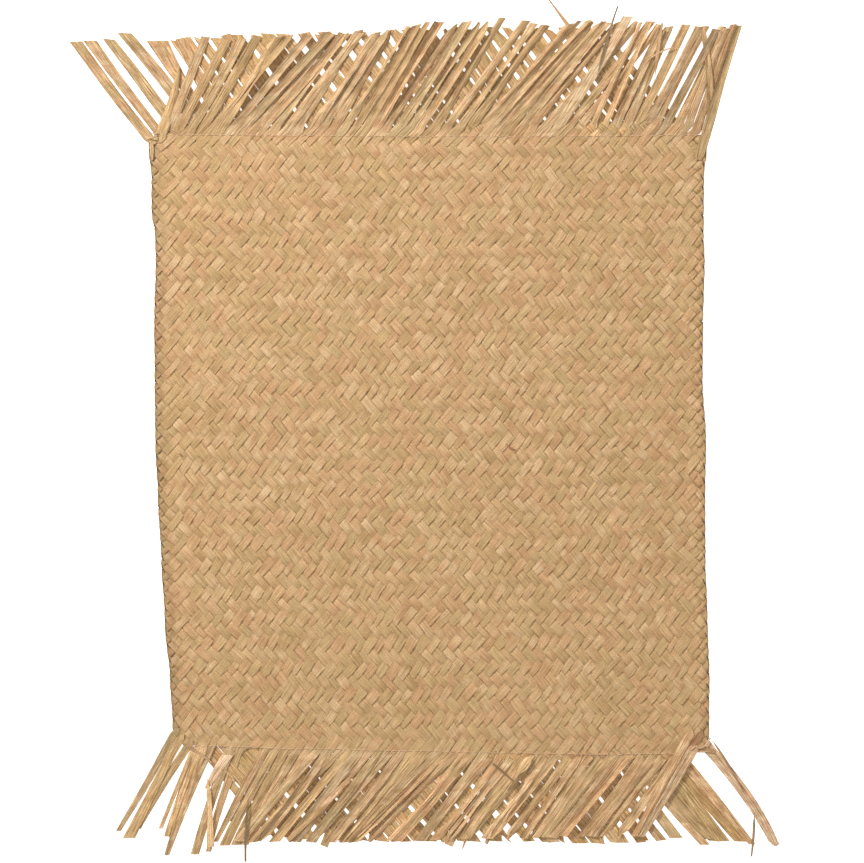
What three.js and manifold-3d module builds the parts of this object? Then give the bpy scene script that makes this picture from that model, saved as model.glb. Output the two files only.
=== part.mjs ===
import * as THREE from 'three';
import { mergeVertices } from 'three/addons/utils/BufferGeometryUtils.js';
import Module from 'manifold-3d';

// A placemat plaited from flat leaf strips, lying flat. The strips turn back along both sides
// and run out at both ends as a slanting fringe of two crossing layers.
// Millimetres: X runs across, Y along the length, Z up from the table. The origin is the middle
// of the plaited body's underside.

// Driving sizes
const STRIP_PITCH = 6.54;
const FOLD_PITCH = 7.45;
const FOLD_BULGE = 0.5;
const FOLD_UNEVENNESS = 0.5;
const POINTS_PER_FOLD = 3;
const BODY_THICKNESS = 1.6;

const PARTING = 0.3;
const BACKING_WIDTH = 3;
const BACKING_REACH = 2;
const BACKING_STEP = 12;
const ROOT_DEPTH = 2;
const STRAND_WIDTH = 5;
const STRAND_THICKNESS = 0.3;
const LEVEL_STEP = 0.6;
const LEVEL_COUNT = 4;
const BACKING_LIFT = 0.1;
const BACKING_THICKNESS = LEVEL_COUNT * LEVEL_STEP - 0.3;
const STRAND_SECTIONS = 4;
const LEVEL_TIP_SPACING = 8.4;

// How far one strand may differ from its neighbours
const ROOT_SCATTER = 0.5;
const LEAN_SCATTER = 2.5;
const TIP_SCATTER = 1.2;
const WIDTH_SCATTER = 0.7;
const BOW_SCATTER = 1.0;

// The two sides of the body: place along the length, and each edge's place across
const SIDES = [
  { along: -184, left: -150.5, right: 164.3 },
  { along: -162, left: -151.8, right: 164.4 },
  { along: -139, left: -153.2, right: 164.7 },
  { along: -104, left: -156.4, right: 163.5 },
  { along: -68, left: -158.3, right: 162.3 },
  { along: -33, left: -160.3, right: 162.1 },
  { along: 2, left: -161.9, right: 162.6 },
  { along: 38, left: -162.2, right: 160.6 },
  { along: 73, left: -162.5, right: 160.9 },
  { along: 108, left: -161.6, right: 161.8 },
  { along: 122, left: -162.0, right: 161.2 },
  { along: 137, left: -164.1, right: 161.3 },
  { along: 158, left: -164.1, right: 161.4 },
  { along: 172, left: -165.8, right: 163.0 },
  { along: 184, left: -165.0, right: 163.2 },
];

// The two stitched ends of the body: place across, and each end's distance from the middle
const ENDS = [
  { across: -166, top: 182.4, bottom: 170.5 },
  { across: -140, top: 181.9, bottom: 177.4 },
  { across: -75, top: 181.5, bottom: 179.3 },
  { across: -10, top: 181.0, bottom: 180.6 },
  { across: 60, top: 181.0, bottom: 182.0 },
  { across: 100, top: 181.2, bottom: 182.6 },
  { across: 142, top: 181.6, bottom: 182.0 },
  { across: 166, top: 182.0, bottom: 178.4 },
];

// Each layer's strands from their roots across: the lean from the end line in degrees, and the
// tip's distance from the body's middle
const TOP_UPPER = [
  { across: -145, lean: 58, tip: 239 },
  { across: -124, lean: 52, tip: 240 },
  { across: -113, lean: 49, tip: 241 },
  { across: -100, lean: 57, tip: 241 },
  { across: -74, lean: 57, tip: 243 },
  { across: -38, lean: 59, tip: 247 },
  { across: 0, lean: 57, tip: 249 },
  { across: 17, lean: 51, tip: 248 },
  { across: 68, lean: 52, tip: 249 },
  { across: 96, lean: 61, tip: 247 },
  { across: 138, lean: 66, tip: 246 },
  { across: 158, lean: 72, tip: 246 },
];
const TOP_LOWER = [
  { across: -120, lean: 52, tip: 238 },
  { across: -60, lean: 53, tip: 241 },
  { across: 0, lean: 51, tip: 242 },
  { across: 60, lean: 53, tip: 245 },
  { across: 120, lean: 50, tip: 245 },
  { across: 160, lean: 52, tip: 246 },
];
const BOTTOM_UPPER = [
  { across: -85, lean: 58, tip: 233 },
  { across: -74, lean: 54, tip: 234 },
  { across: -60, lean: 46, tip: 234 },
  { across: -44, lean: 49, tip: 234 },
  { across: 12, lean: 48, tip: 234 },
  { across: 31, lean: 51, tip: 233 },
  { across: 83, lean: 51, tip: 232 },
  { across: 127, lean: 53, tip: 231 },
  { across: 142, lean: 56, tip: 231 },
  { across: 154, lean: 62, tip: 231 },
];
const BOTTOM_LOWER = [
  { across: -134, lean: 50, tip: 232 },
  { across: -60, lean: 51, tip: 234 },
  { across: 0, lean: 50, tip: 234 },
  { across: 60, lean: 52, tip: 235 },
  { across: 110, lean: 51, tip: 233 },
  { across: 140, lean: 52, tip: 234 },
];

// Strands that stand out on their own: root and tip across, the tip's distance from the middle,
// the width at root and tip, the sideways bow, and the level from 0 on the table to 3
const TOP_LONE = [
  { root: -167.3, end: -209.0, tip: 237, width: 5.4, tipWidth: 5.6, bow: -0.6, level: 0 },
  { root: -157.5, end: -200.6, tip: 237.5, width: 4.8, tipWidth: 5.6, bow: -0.8, level: 1 },
  { root: -147.0, end: -189.4, tip: 238.5, width: 5.0, tipWidth: 5.0, bow: 0, level: 0 },
  { root: -135.0, end: -179.9, tip: 242, width: 4.8, tipWidth: 5.8, bow: 0.8, level: 1 },
  { root: 134.0, end: 70.1, tip: 261.5, width: 5.6, tipWidth: 0.5, bow: 0, level: 1 },
  { root: -158.5, end: -147.8, tip: 223.8, width: 7.0, tipWidth: 0.7, bow: 1.8, level: 3 },
  { root: -153.0, end: -131.9, tip: 239.7, width: 4.8, tipWidth: 5.0, bow: 0, level: 2 },
  { root: 162.3, end: 181.8, tip: 246.2, width: 4.6, tipWidth: 3.0, bow: -0.5, level: 3 },
];
const BOTTOM_LONE = [
  { root: 167.0, end: 203.8, tip: 236.2, width: 5.6, tipWidth: 4.4, bow: 0.6, level: 0 },
  { root: 147.8, end: 189.6, tip: 235.5, width: 6.4, tipWidth: 3.0, bow: 0, level: 1 },
  { root: -150.6, end: -183.2, tip: 227.9, width: 5.6, tipWidth: 2.6, bow: 0.4, level: 0 },
  { root: -142.0, end: -178.2, tip: 231.5, width: 4.8, tipWidth: 4.6, bow: -0.6, level: 1 },
  { root: -132.0, end: -154.9, tip: 230.5, width: 6.0, tipWidth: 5.4, bow: 0, level: 2 },
  { root: -124.0, end: -154.9, tip: 242.0, width: 5.0, tipWidth: 2.4, bow: -2.0, level: 3 },
  { root: -119.0, end: -138.4, tip: 241.5, width: 4.6, tipWidth: 3.6, bow: -1.0, level: 2 },
  { root: -112.0, end: -129.8, tip: 235.6, width: 5.4, tipWidth: 4.4, bow: -2.5, level: 3 },
  { root: -104.0, end: -121.8, tip: 236.2, width: 4.6, tipWidth: 4.6, bow: 0, level: 2 },
  { root: -94.0, end: -113.5, tip: 235.9, width: 5.0, tipWidth: 5.2, bow: 0.5, level: 3 },
];

// The two ends: their sign along Y, each layer's direction across, its first and last regular
// strand's root, and the lowest level that it takes
const FRINGES = [
  {
    name: 'fringe_top',
    edge: 'top',
    sign: 1,
    lone: TOP_LONE,
    layers: [
      { seed: 11, rows: TOP_LOWER, slant: -1, first: -121.5, last: 161, level: 0 },
      { seed: 12, rows: TOP_UPPER, slant: 1, first: -145, last: 155.9, level: 2 },
    ],
  },
  {
    name: 'fringe_bottom',
    edge: 'bottom',
    sign: -1,
    lone: BOTTOM_LONE,
    layers: [
      { seed: 21, rows: BOTTOM_LOWER, slant: 1, first: -134, last: 140.7, level: 0 },
      { seed: 22, rows: BOTTOM_UPPER, slant: -1, first: -85, last: 156, level: 2 },
    ],
  },
];

const wasm = await Module();
wasm.setup();

// A repeatable number from -1 to 1 for one strand or fold
function scatter(seed, index) {
  const wave = Math.sin(seed * 12.9898 + index * 78.233) * 43758.5453;
  return 2 * (wave - Math.floor(wave)) - 1;
}

// A column's value at a place along a table, eased from row to row
function readTable(rows, placeColumn, place, column) {
  const last = rows.length - 1;
  if (place <= rows[0][placeColumn]) {
    return rows[0][column];
  }
  if (place >= rows[last][placeColumn]) {
    return rows[last][column];
  }
  const next = rows.findIndex((row) => row[placeColumn] > place);
  const from = rows[next - 1];
  const to = rows[next];
  const share = (place - from[placeColumn]) / (to[placeColumn] - from[placeColumn]);
  return THREE.MathUtils.lerp(from[column], to[column], share * share * (3 - 2 * share));
}

function sideAt(side, along) {
  return readTable(SIDES, 'along', along, side);
}

function endAt(edge, across) {
  return readTable(ENDS, 'across', across, edge);
}

// One side's edge from the bottom to the top, a shallow bulge for each strip that turns back
function foldedSide(side, outward) {
  const points = [];
  const step = FOLD_PITCH / POINTS_PER_FOLD;
  const bottom = -endAt('bottom', sideAt(side, SIDES[0].along));
  const top = endAt('top', sideAt(side, SIDES[SIDES.length - 1].along));
  const firstStep = Math.ceil(bottom / step);
  const lastStep = Math.floor(top / step);
  for (let i = firstStep; i <= lastStep; i++) {
    const along = i * step;
    const fold = Math.floor(i / POINTS_PER_FOLD);
    const bulge = Math.abs(Math.sin((Math.PI * along) / FOLD_PITCH));
    const size = FOLD_BULGE * (1 + FOLD_UNEVENNESS * scatter(outward, fold));
    points.push(new THREE.Vector2(sideAt(side, along) + outward * size * bulge, along));
  }
  return points;
}

// Points along one end from left to right, which reach past the two sides for the outer strands
function endLine(edge, sign, offset, reach) {
  const along = sign * endAt(edge, 0);
  const left = sideAt('left', along) - reach;
  const right = sideAt('right', along) + reach;
  const steps = Math.round((right - left) / BACKING_STEP);
  const points = [];
  for (let i = 0; i <= steps; i++) {
    const across = THREE.MathUtils.lerp(left, right, i / steps);
    points.push(new THREE.Vector2(across, sign * (endAt(edge, across) + offset)));
  }
  return points;
}

function slab(outline, thickness) {
  const shape = new THREE.Shape(outline);
  return new THREE.ExtrudeGeometry(shape, { depth: thickness, bevelEnabled: false });
}

function bodyGeometry() {
  const outline = [
    ...foldedSide('right', 1),
    ...endLine('top', 1, 0, 0).reverse(),
    ...foldedSide('left', -1).reverse(),
    ...endLine('bottom', -1, 0, 0),
  ];
  return slab(outline, BODY_THICKNESS);
}

// The narrow strip that holds one end's strands, just off the body's stitched end. The lowest
// strands pass a little below it, so that they alone rest on the table.
function backingGeometry(edge, sign) {
  const inner = endLine(edge, sign, PARTING, BACKING_REACH);
  const outer = endLine(edge, sign, PARTING + BACKING_WIDTH, BACKING_REACH).reverse();
  const geometry = slab([...inner, ...outer], BACKING_THICKNESS);
  geometry.translate(0, 0, BACKING_LIFT);
  return geometry;
}

// One flat strand, cut level at its tip, as a plan outline with straight cuts along X
function strandGeometry(fringe, strand) {
  const { edge, sign } = fringe;
  const start = endAt(edge, strand.root) + PARTING + BACKING_WIDTH - ROOT_DEPTH;
  const rise = strand.tip - start;
  const run = strand.end - strand.root;
  const stretch = Math.hypot(rise, run) / rise;
  const near = [];
  const far = [];
  for (let i = 0; i < STRAND_SECTIONS; i++) {
    const share = i / (STRAND_SECTIONS - 1);
    const bow = 4 * strand.bow * share * (1 - share);
    const middle = strand.root + run * share + bow;
    const width = THREE.MathUtils.lerp(strand.width, strand.tipWidth, share * share);
    const along = sign * (start + rise * share);
    near.push(new THREE.Vector2(middle - (width * stretch) / 2, along));
    far.push(new THREE.Vector2(middle + (width * stretch) / 2, along));
  }
  const geometry = slab([...near, ...far.reverse()], STRAND_THICKNESS);
  geometry.translate(0, 0, strand.level * LEVEL_STEP);
  return geometry;
}

// One layer's regular strands, from left to right. Neighbours take turns on two levels, and no
// tip runs into the last one on its own level.
function layerStrands(fringe, layer) {
  const strands = [];
  const count = Math.round((layer.last - layer.first) / STRIP_PITCH) + 1;
  const lone = fringe.lone.filter((strand) => strand.level - layer.level === strand.level % 2);
  const lastTip = [0, 1].map((turn) => {
    const earlier = lone.filter((strand) => strand.root < layer.first && strand.level % 2 === turn);
    return Math.max(...earlier.map((strand) => strand.end));
  });
  for (let i = 0; i < count; i++) {
    const seed = layer.seed;
    const root = layer.first + i * STRIP_PITCH + ROOT_SCATTER * scatter(seed, i);
    if (lone.some((strand) => Math.abs(strand.root - root) < STRIP_PITCH / 2)) {
      continue;
    }
    const turn = i % 2;
    const lean = readTable(layer.rows, 'across', root, 'lean') + LEAN_SCATTER * scatter(seed, i + 100);
    const tip = readTable(layer.rows, 'across', root, 'tip') + TIP_SCATTER * scatter(seed, i + 200);
    const rise = tip - endAt(fringe.edge, root);
    const shift = (layer.slant * rise) / Math.tan(THREE.MathUtils.degToRad(lean));
    const end = Math.max(root + shift, lastTip[turn] + LEVEL_TIP_SPACING);
    const width = STRAND_WIDTH + WIDTH_SCATTER * scatter(seed, i + 300);
    const bow = BOW_SCATTER * scatter(seed, i + 400);
    lastTip[turn] = end;
    strands.push({ root, end, tip, width, tipWidth: width, bow, level: layer.level + turn });
  }
  return strands;
}

function toManifold(geometry) {
  geometry.deleteAttribute('normal');
  geometry.deleteAttribute('uv');
  const merged = mergeVertices(geometry, 1e-5);
  const vertProperties = new Float32Array(merged.attributes.position.array);
  const triVerts = new Uint32Array(merged.index.array);
  return new wasm.Manifold(new wasm.Mesh({ numProp: 3, vertProperties, triVerts }));
}

function toGeometry(solid) {
  const mesh = solid.getMesh();
  const geometry = new THREE.BufferGeometry();
  geometry.setAttribute('position', new THREE.BufferAttribute(mesh.vertProperties, mesh.numProp));
  geometry.setIndex(new THREE.BufferAttribute(mesh.triVerts, 1));
  geometry.computeVertexNormals();
  return geometry;
}

// One end's strands, joined at their roots by the backing
function fringeGeometry(fringe) {
  const regular = fringe.layers.flatMap((layer) => layerStrands(fringe, layer));
  let solid = toManifold(backingGeometry(fringe.edge, fringe.sign));
  for (const strand of [...regular, ...fringe.lone]) {
    solid = solid.add(toManifold(strandGeometry(fringe, strand)));
  }
  return toGeometry(solid);
}

function leafPiece(name, geometry, colour) {
  const material = new THREE.MeshStandardMaterial({ color: colour, roughness: 0.7, metalness: 0 });
  const mesh = new THREE.Mesh(geometry, material);
  mesh.name = name;
  return mesh;
}

const BODY_COLOUR = new THREE.Color(0.594, 0.376, 0.188);
const FRINGE_COLOUR = new THREE.Color(0.54, 0.355, 0.19);

const group = new THREE.Group();
group.add(leafPiece('mat', bodyGeometry(), BODY_COLOUR));
for (const fringe of FRINGES) {
  group.add(leafPiece(fringe.name, fringeGeometry(fringe), FRINGE_COLOUR));
}

export default group;
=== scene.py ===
import math

import bpy
import numpy as np
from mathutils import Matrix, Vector


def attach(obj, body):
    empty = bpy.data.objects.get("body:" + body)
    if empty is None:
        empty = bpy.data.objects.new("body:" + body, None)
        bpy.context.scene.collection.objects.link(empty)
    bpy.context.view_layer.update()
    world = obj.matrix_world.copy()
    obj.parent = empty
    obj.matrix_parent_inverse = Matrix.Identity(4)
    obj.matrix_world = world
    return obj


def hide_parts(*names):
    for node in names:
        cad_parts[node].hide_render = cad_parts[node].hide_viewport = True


# A placemat plaited from flat leaf strips, lying flat and seen from straight above. Each strip
# is a closed mesh that follows its own way over and under the others, turns back at the side
# and runs out as a loose strand of the fringe. Sizes are in millimetres until a mesh is made.

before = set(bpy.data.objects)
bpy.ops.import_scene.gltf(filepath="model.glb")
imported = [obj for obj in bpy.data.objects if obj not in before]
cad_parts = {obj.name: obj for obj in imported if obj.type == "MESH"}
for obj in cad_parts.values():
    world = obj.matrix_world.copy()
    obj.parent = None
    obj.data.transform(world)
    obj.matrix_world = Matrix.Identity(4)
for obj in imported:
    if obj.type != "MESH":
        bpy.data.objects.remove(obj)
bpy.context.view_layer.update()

MM = 0.001
scene = bpy.context.scene


def table(columns, *rows):
    """The rows as dicts by column. A row may end with a dict of more named values."""
    names = columns.split()
    return [{**dict(zip(names, row)), **dict(*row[len(names):])} for row in rows]


# The plait: columns and rows of strip crossings, and the strips themselves
COLUMNS = 50
COLUMN_PITCH = 6.54
FOLD_PITCH = 7.45
STRIPS = range(25, 75)
STRIP_PITCH = 4.96
STRIP_FILL = 1.05
STRIP_THICKNESS = 0.36
OFF_FLOOR = 0.02
STRIP_CROWN = 0.09
LIFT = 0.4
LIFT_ARCH = 0.14
DIVE = 0.24
MIDDLE_HEIGHT = 0.74
RINGS_PER_CELL = 3
FOLD_BULGE = 0.3
FOLD_INSET = 0.7
FOLD_NECK = 0.08
FOLD_REACH = 0.75
FOLD_SLIT_REACH = 0.8
FOLD_TONE_REACH = 1.4
FOLD_LINE_REACH = 0.12
LEFT_DARKER = 0.19
FOLD_LINE_DARKER = 0.3
PLAIT_TINT = np.array([1.01, 0.995, 0.955])

# How far the plait strays from an even lattice
SWAY = 1.7
EDGE_STRAY = 0.22
DRIFT = 0.04
WIDTH_SCATTER = 0.05
NECK = 0.02
TILT = 0.13
SHINGLE = 0.06

# The two sides of the body: place along the length, and each edge's place across
SIDES = table(
    "along left right",
    (-184, -150.5, 164.3), (-162, -151.8, 164.4), (-139, -153.2, 164.7),
    (-104, -156.4, 163.5), (-68, -158.3, 162.3), (-33, -160.3, 162.1),
    (2, -161.9, 162.6), (38, -162.2, 160.6), (73, -162.5, 160.9),
    (108, -161.6, 161.8), (122, -162, 161.2), (137, -164.1, 161.3),
    (158, -164.1, 161.4), (172, -165.8, 163), (184, -165, 163.2),
)

# The two stitched ends of the body: place across, and each end's distance from the middle
ENDS = table(
    "across top bottom",
    (-166, 182.4, 170.5), (-140, 181.9, 177.4), (-75, 181.5, 179.3),
    (-10, 181, 180.6), (60, 181, 182), (100, 181.2, 182.6), (142, 181.6, 182),
    (166, 182, 178.4),
)

# How far the plait goes on past the stitching at each end, by place across
PLAITED_ON = table(
    "across top bottom",
    (-166, 0, 0.5), (-130, 2, 0.5), (-60, 3.5, 0.5), (60, 4.5, 1.5), (120, 6, 1.5),
    (146, 5, 1), (156, 0.5, 0.5), (166, 0, 0.5),
)

# The share of the solid strands' width that the leaf still covers, as it rolls up on drying
COVER = table(
    "across top bottom",
    (-166, 1.06, 1.02), (-60, 1.08, 1.06), (60, 1.04, 1.06), (110, 0.9, 1.04),
    (166, 0.8, 1.06),
)

# Each fringe layer's strands from their roots across: the lean from the end line in degrees,
# and the tip's distance from the body's middle
LAYER_COLUMNS = "across lean tip"
TOP_UPPER = table(
    LAYER_COLUMNS,
    (-145, 58, 239), (-124, 52, 240), (-113, 49, 241), (-100, 57, 241),
    (-74, 57, 243), (-38, 59, 247), (0, 57, 249), (17, 51, 248), (68, 52, 249),
    (96, 61, 247), (138, 66, 246), (158, 72, 246),
)
TOP_LOWER = table(
    LAYER_COLUMNS,
    (-120, 52, 238), (-60, 53, 241), (0, 51, 242), (60, 53, 245), (120, 50, 245),
    (160, 52, 246),
)
BOTTOM_UPPER = table(
    LAYER_COLUMNS,
    (-85, 58, 233), (-74, 54, 234), (-60, 46, 234), (-44, 49, 234), (12, 48, 234),
    (31, 51, 233), (83, 51, 232), (127, 53, 231), (142, 56, 231), (154, 62, 231),
)
BOTTOM_LOWER = table(
    LAYER_COLUMNS,
    (-134, 50, 232), (-60, 51, 234), (0, 50, 234), (60, 52, 235), (110, 51, 233),
    (140, 52, 234),
)

# Strands that stand out on their own: root and tip across, the tip's distance from the middle,
# the width at root and tip, the sideways bow, the level from 0 on the table to 3, and the tone
# against the others. Some have more: "inner" is how far one with no strip of its own starts inside
# the end line, on the body or "under" it, "flat" its share of the usual curl, "over" its height
# over its level, "shade" its place in the leaf's shades, "pale" and "warm" how much paler and
# redder it is, and "rounded" how round its tip is.
LONE_COLUMNS = "root end tip width tip_width bow level tone"
TOP_LONE = table(
    LONE_COLUMNS,
    (-167.3, -208.6, 237, 6, 6.2, -0.6, 0, 0.95, dict(inner=6, flat=0.4)),
    (-156.6, -200.2, 237.5, 5.4, 6.4, -0.4, 1, 1, dict(flat=0.3)),
    (-144.9, -189.4, 238.5, 6.8, 5.6, 0.4, 0, 0.95, dict(flat=0.3)),
    (-134.4, -179.9, 242, 7.4, 6.6, 0.8, 1, 1.02, dict(flat=0.3)),
    (134, 70.1, 261.5, 5.6, 0.5, 0, 1, 1),
    (-158.5, -147.8, 223.8, 7, 0.7, 1.8, 3, 1.12, dict(inner=5)),
    (-154, -131.9, 239.7, 5.4, 5, 0, 2, 0.92, dict(inner=-0.6, flat=0.3)),
    (-149.5, -119.5, 238, 5.6, 5, 0, 2, 0.95, dict(inner=-0.6, flat=0.3)),
    (162.3, 181.4, 246.2, 5.6, 4, -0.5, 3, 0.95, dict(inner=15)),
    (163.4, 160.6, 243.4, 4.2, 3.2, 2.6, 2, 0.84, dict(inner=-0.6, shade=0.72)),
    (157.5, 171, 242.6, 3.6, 2.6, 0.6, 2, 0.9, dict(inner=-0.6)),
)
BOTTOM_LONE = table(
    LONE_COLUMNS,
    (163.2, 203.4, 236.8, 7, 4.4, 3.4, 0, 1.2,
     dict(inner=6, under=True, rounded=1.6, flat=0.2, pale=0.2, warm=1.03, shade=0.56)),
    (147.8, 189.6, 235.5, 6.4, 3, 0, 1, 1.05),
    (-152.6, -183.6, 227.9, 4.4, 2.6, 0.4, 0, 0.86, dict(inner=7, flat=0.3)),
    (-148.2, -177.3, 232, 4.8, 6.6, -0.4, 1, 1.08, dict(inner=5, flat=0.3, shade=0.14)),
    (-142, -172, 226.5, 4.8, 3, -0.8, 0, 1.02, dict(inner=3)),
    (-138.6, -158.4, 226.2, 2.6, 2.4, 0, 3, 1.16, dict(inner=-0.6, flat=0.2, shade=0.36)),
    (-135.4, -153.7, 231, 8.6, 5.4, 0, 3, 1.04, dict(flat=0.3)),
    (-126, -154.9, 242, 5.8, 2.8, -1.4, 2, 0.95, dict(flat=0.5)),
    (-117, -138.4, 241.5, 5.6, 4.8, -1, 2, 0.95, dict(flat=0.5)),
    (-115.2, -131.5, 202.8, 6.2, 2.2, -0.8, 3, 1.42,
     dict(inner=-0.6, flat=0.3, pale=0.24, warm=1.05, shade=0.55)),
    (-107.5, -130.4, 240, 4.6, 3, -1.5, 1, 0.92, dict(flat=0.5)),
    (-97.5, -126, 234, 4.8, 2.4, -0.6, 2, 0.88, dict(flat=0.5)),
    (-88.5, -120.8, 236.2, 5.2, 5.4, -0.8, 3, 0.98, dict(flat=0.5)),
    (-82, -114.2, 235.9, 5.2, 5.2, -0.8, 2, 0.92, dict(flat=0.5)),
    (-92.5, -117, 222, 5.2, 1.6, 0.8, 2, 0.84, dict(inner=-0.6, flat=0.5)),
)

# Strands that differ from their neighbours, each in place of the regular one nearest to it,
# with the same meanings
STANDOUT_COLUMNS = "root end tip width tip_width tone"
TOP_STANDOUTS = table(
    STANDOUT_COLUMNS,
    (-38.3, -1.2, 248.5, 5.4, 3, 1),
    (0, 42.4, 251, 5.6, 4, 0.95),
    (17.1, 68.3, 246.5, 5.4, 5, 1.05),
    (67.7, 116.6, 251.5, 6.6, 5, 1.2, dict(flat=0.1, pale=0.14, warm=1, shade=0.64, over=0.5)),
    (96, 129.6, 248, 3.4, 2, 1.25, dict(flat=0.5, shade=0.66, over=0.8)),
    (103, 136.2, 243.5, 5.4, 5.2, 0.95),
    (109, 140.6, 245.6, 5.4, 5, 1),
    (115.4, 150.8, 246.8, 5.2, 4.8, 1.06, dict(flat=0.4)),
    (122, 158.6, 245.6, 5.2, 5, 1),
    (128.5, 162.6, 246, 4.8, 4.2, 0.94),
    (135, 168.2, 244, 4.8, 4.2, 0.86),
    (141.5, 172.2, 245.8, 5.2, 4.6, 0.98),
    (148, 174.6, 244.6, 4.6, 3.8, 1.02),
    (154.5, 178.6, 247, 4.6, 3.8, 0.84),
    (-121.5, -160.6, 237.5, 5.2, 11, 1, dict(flat=0.1)),
    (-114.5, -146.6, 238.6, 5.2, 6.2, 1, dict(flat=0.1)),
)
BOTTOM_STANDOUTS = table(
    STANDOUT_COLUMNS,
    (153.6, 124.2, 230.9, 7.2, 3, 1.08,
     dict(bow=0, flat=0.1, pale=0.1, warm=1.03, inner=3, level=3, shade=0.5, over=0.6)),
    (146.6, 120.4, 230.6, 5.2, 3.6, 1.14,
     dict(bow=0, flat=0.1, warm=1.01, inner=13, level=3, shade=0.46, over=0.7)),
    (121, 166, 232.5, 6.4, 6.4, 0.95, dict(flat=0.3)),
    (114.6, 162, 236, 6, 4.6, 1.1, dict(flat=0.3)),
    (108, 145, 232, 6, 6.4, 0.95, dict(flat=0.3)),
    (101.5, 133.5, 232, 4.4, 3.4, 0.8),
)

# Stray lengths of leaf: both ends, across and along, the width at the middle and at the second
# end, the sideways bow, the height, the tone, and how much redder they are
STRAYS = table(
    "x y to_x to_y width tip bow z tone red",
    (98.4, 216.7, 110.4, 257.4, 1.4, 0.9, 0.5, 3.2, 0.5, -0.03),
    (132.5, 216.7, 136.6, 247.4, 2.2, 1.2, 0.6, 3.2, 1, 0),
    (123.7, 222.1, 143.7, 233.2, 1.1, 0.7, 1.6, 3.3, 1.2, 0.02),
    (-106.6, -208.5, -108.4, -245.5, 1.4, 1.2, -0.6, 3.3, 0.45, -0.03),
    (59.5, -182.6, 49.6, -195.4, 5.2, 0.4, 0.4, 3.6, 1.42, 0),
    (53, -195, 45.9, -203.8, 2.6, 1, 0.3, 3.7, 0.66, 0.05),
    (34.8, -186.1, 48.9, -197.9, 1.1, 0.6, 0.3, 3.8, 0.5, 0.02),
    (-41.8, -190.2, -83.6, -232.7, 3.2, 2.6, 0.8, 3.2, 1.12, 0.03),
    (190.8, -217.3, 189.1, -242.7, 1.5, 1, 0.4, 1.6, 0.62, -0.02),
    (-121.3, -192, -114.3, -200.3, 1.2, 0.6, 1.6, 3.6, 1.2, 0),
    (-55, -218.5, -62.4, -236.8, 5, 4.6, 0, 0.5, 0.98, 0),
    (18.5, -218, 10.9, -236.3, 5.6, 5, 0, 0.5, 1.02, 0),
    (24, -222, 19, -238.4, 1.8, 0.8, 0.3, 0.4, 0.95, 0),
    (40, -219, 33, -235.4, 3.4, 2, 0, 0.4, 0.95, 0),
    (-163.9, 178.6, -163.4, 167, 2.4, 1, 0, 1.9, 1.15, 0),
    (-138.5, 181, -153, 193, 7, 6, 0, 0.5, 0.9, 0),
    (-144.5, 179.6, -156.5, 185.6, 4, 3.4, 0, 0.5, 0.9, 0),
    (-130.9, -196.4, -129.2, -236.8, 3, 4.4, 0.7, 3, 1.34, -0.01),
    (-146.7, -175.5, -128.4, -187.3, 1.4, 1.2, 0.6, 1.9, 0.85, 0.03),
    (164.6, -172.5, 184.4, -205, 1.3, 0.6, 0.9, 2.3, 0.66, 0.06),
    (160.5, -168, 153.5, -178.5, 3.6, 2.6, 0.4, 1.7, 0.74, 0.08),
    # A thin dark length that stands for the painted shade along the crease between two strands
    (152.2, -177, 122.3, -229.6, 0.6, 0.5, 0, 4, 0.6, 0.03),
    (154.6, -180.2, 167.6, -181, 3.6, 2.4, 0.8, 1, 0.9, 0.04),
    (-163.6, 180, -160, 179.6, 2.2, 2, 0.2, 2.7, 1.12, -0.02),
    (44.6, 0.4, 50.2, -3.2, 1, 0.5, -0.9, 1.75, 0.62, 0.16),
    (-147.8, -5.4, -145.6, -7.4, 0.9, 0.5, 0, 1.7, 0.62, 0.14),
)

# The two fringes: their sign along Y, each layer's direction across, its first and last regular
# strand's root, and the lowest level that it takes
FRINGE_LAYERS = "seed rows slant first last level"
FRINGES = table(
    "node edge sign lone standouts layers",
    ("fringe_top", "top", 1, TOP_LONE, TOP_STANDOUTS, table(
        FRINGE_LAYERS,
        (11, TOP_LOWER, -1, -121.5, 151, 0),
        (12, TOP_UPPER, 1, -145, 155.9, 2),
    )),
    ("fringe_bottom", "bottom", -1, BOTTOM_LONE, BOTTOM_STANDOUTS, table(
        FRINGE_LAYERS,
        (21, BOTTOM_LOWER, 1, -134, 140.7, 0),
        (22, BOTTOM_UPPER, -1, -85, 150, 2),
    )),
)

# The regular strands, and how far each may differ from its neighbours
ROOT_PITCH = 6.54
STRAND_WIDTH = 5
LEVEL_TIP_SPACING = 8.4
ROOT_SCATTER = 0.5
LEAN_SCATTER = 2.5
TIP_SCATTER = dict(top=1.0, bottom=0.4)
CUT_SLANT = dict(top=1.0, bottom=0.5)
STRAND_WIDTH_SCATTER = 0.7
BOW_SCATTER = 1.0
NEAR_RINGS = 8
FAR_RINGS = 22
LEVEL_HEIGHTS = (0.25, 0.65, 1.45, 1.9)
LEAF_THICKNESS = 0.24

# The two lower levels' share of the curl and of the spring, and their darker, browner tint: painted
# shade, as they lie under the upper strands
LOWER_CURL = 0.3
LOWER_SPRING = 0.6
LOWER_SHADE_TINT = np.array([0.98, 0.95, 0.86])

# How far a strip keeps its course past the end line, the cost of a strand or strip without a
# pair, the share of split strands, and each fringe's tone
SETTLE = 14
UNPAIRED_COST = 4.0
SPLIT_SHARE = 0.16
FRINGE_TONE = dict(top=0.985, bottom=1.035)


def scatter(seed, index):
    """A repeatable number from -1 to 1 for one strand or strip."""
    wave = np.sin(seed * 12.9898 + np.asarray(index, float) * 78.233) * 43758.5453
    return 2 * (wave - np.floor(wave)) - 1


def ease(share):
    share = np.clip(share, 0, 1)
    return share * share * (3 - 2 * share)


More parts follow.
